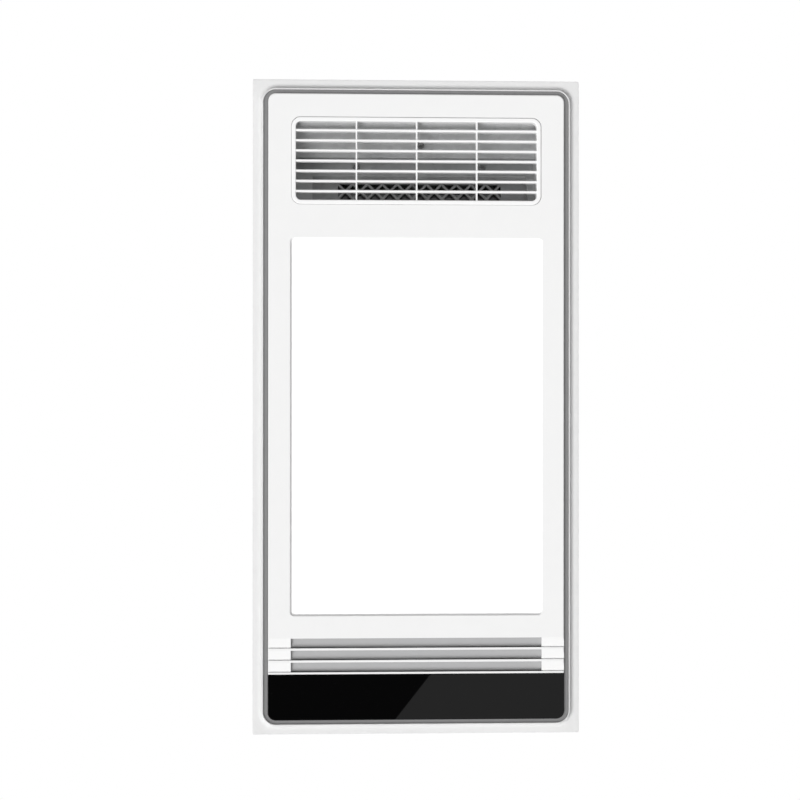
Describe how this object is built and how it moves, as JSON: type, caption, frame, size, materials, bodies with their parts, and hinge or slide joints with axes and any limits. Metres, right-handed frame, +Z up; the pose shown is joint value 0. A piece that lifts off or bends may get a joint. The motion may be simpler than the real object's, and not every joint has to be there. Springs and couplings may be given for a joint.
{
  "type": "bathroom ceiling heater",
  "caption": "White rectangular bathroom ceiling heater with a warm air outlet grille, lit panel, intake slats and dark strip, and a fan housing with an exhaust spigot on top.",
  "frame": {"origin": "centre of the panel's upper face, which bears on the ceiling", "axes": "+X across the panel to the exhaust spigot's side, +Y along the panel from the outlet grille to the dark strip, +Z up into the ceiling"},
  "size_m": [0.3, 0.6, 0.2013],
  "materials": {
    "white_plastic": "glossy white moulded plastic",
    "trim_metal": "satin metallic trim",
    "black_gloss": "glossy black",
    "diffuser": "lit opal plastic",
    "clear_guide": "clear acrylic sheet",
    "reflector": "white film",
    "circuit": "circuit board",
    "chip": "light emitting chip",
    "tray_metal": "white coated sheet",
    "galvanised": "galvanised sheet steel",
    "screw_steel": "zinc plated",
    "spring_steel": "spring steel",
    "grey_plastic": "grey moulded plastic",
    "dark_plastic": "dark moulded plastic",
    "pale_plastic": "pale moulded plastic",
    "dark_aluminium": "dark coated aluminium foil and tube",
    "guard_steel": "dull zinc plated guard",
    "baffle_grey": "light grey moulded plastic",
    "brass": "tinned brass",
    "rubber": "soft rubber",
    "motor_steel": "grey enamel",
    "shaft_steel": "ground steel",
    "relay_blue": "blue moulded case"
  },
  "bodies": {
    "housing": {"panel_frame": "white_plastic", "trim_ring": "trim_metal", "face_panel": "white_plastic", "outlet_grille": "white_plastic", "intake_baffle": "baffle_grey", "accent_strip": "black_gloss", "light_diffuser": "diffuser", "light_guide": "clear_guide", "light_reflector": "reflector", "led_bars": "circuit", "led_chips": "chip", "light_tray": "tray_metal", "light_screws": "screw_steel", "led_driver": "pale_plastic", "panel_clips": "spring_steel", "housing_box": "galvanised", "hanger_brackets": "galvanised", "hanger_rivets": "screw_steel", "outlet_hood": "galvanised", "hood_screws": "screw_steel", "heater_plate": "galvanised", "heater_guard": "guard_steel", "heater_screws": "screw_steel", "ptc_tubes": "dark_aluminium", "ptc_fins": "dark_aluminium", "heater_caps": "dark_plastic", "heater_terminals": "brass", "thermal_cutout": "dark_plastic", "air_duct": "grey_plastic", "diverter_case": "grey_plastic", "diverter_cover": "grey_plastic", "diverter_motor": "motor_steel", "diverter_screws": "screw_steel", "scroll_case": "grey_plastic", "scroll_cover": "galvanised", "fan_motor": "motor_steel", "motor_bushes": "rubber", "motor_screws": "screw_steel", "scroll_posts": "shaft_steel", "scroll_screws": "screw_steel", "exhaust_spigot": "pale_plastic", "spigot_gasket": "rubber", "spigot_screws": "screw_steel", "backdraft_pin": "shaft_steel", "control_box": "pale_plastic", "control_cover": "galvanised", "cover_screws": "screw_steel", "control_board": "circuit", "board_relays": "relay_blue", "run_capacitor": "dark_plastic", "terminal_block": "pale_plastic", "cable_grommet": "rubber"},
    "fan": {"fan_wheel": "dark_plastic", "motor_shaft": "shaft_steel", "wheel_nut": "brass"},
    "diverter": {"diverter_flap": "pale_plastic"},
    "backdraft": {"backdraft_flap": "grey_plastic"}
  },
  "joints": [
    {"name": "fan_spin", "type": "hinge", "parent": "housing", "child": "fan", "pos_m": [-0.012, 0.09, 0.08], "axis": [0, 0, 1], "continuous": true},
    {"name": "diverter_swing", "type": "hinge", "parent": "housing", "child": "diverter", "pos_m": [0.059, -0.0885, 0.1129], "axis": [-1, 0, 0], "range_deg": [0, 90]},
    {"name": "backdraft_swing", "type": "hinge", "parent": "housing", "child": "backdraft", "pos_m": [0.059, -0.036, 0.151], "axis": [-1, 0, 0], "range_deg": [0, 50]}
  ]
}
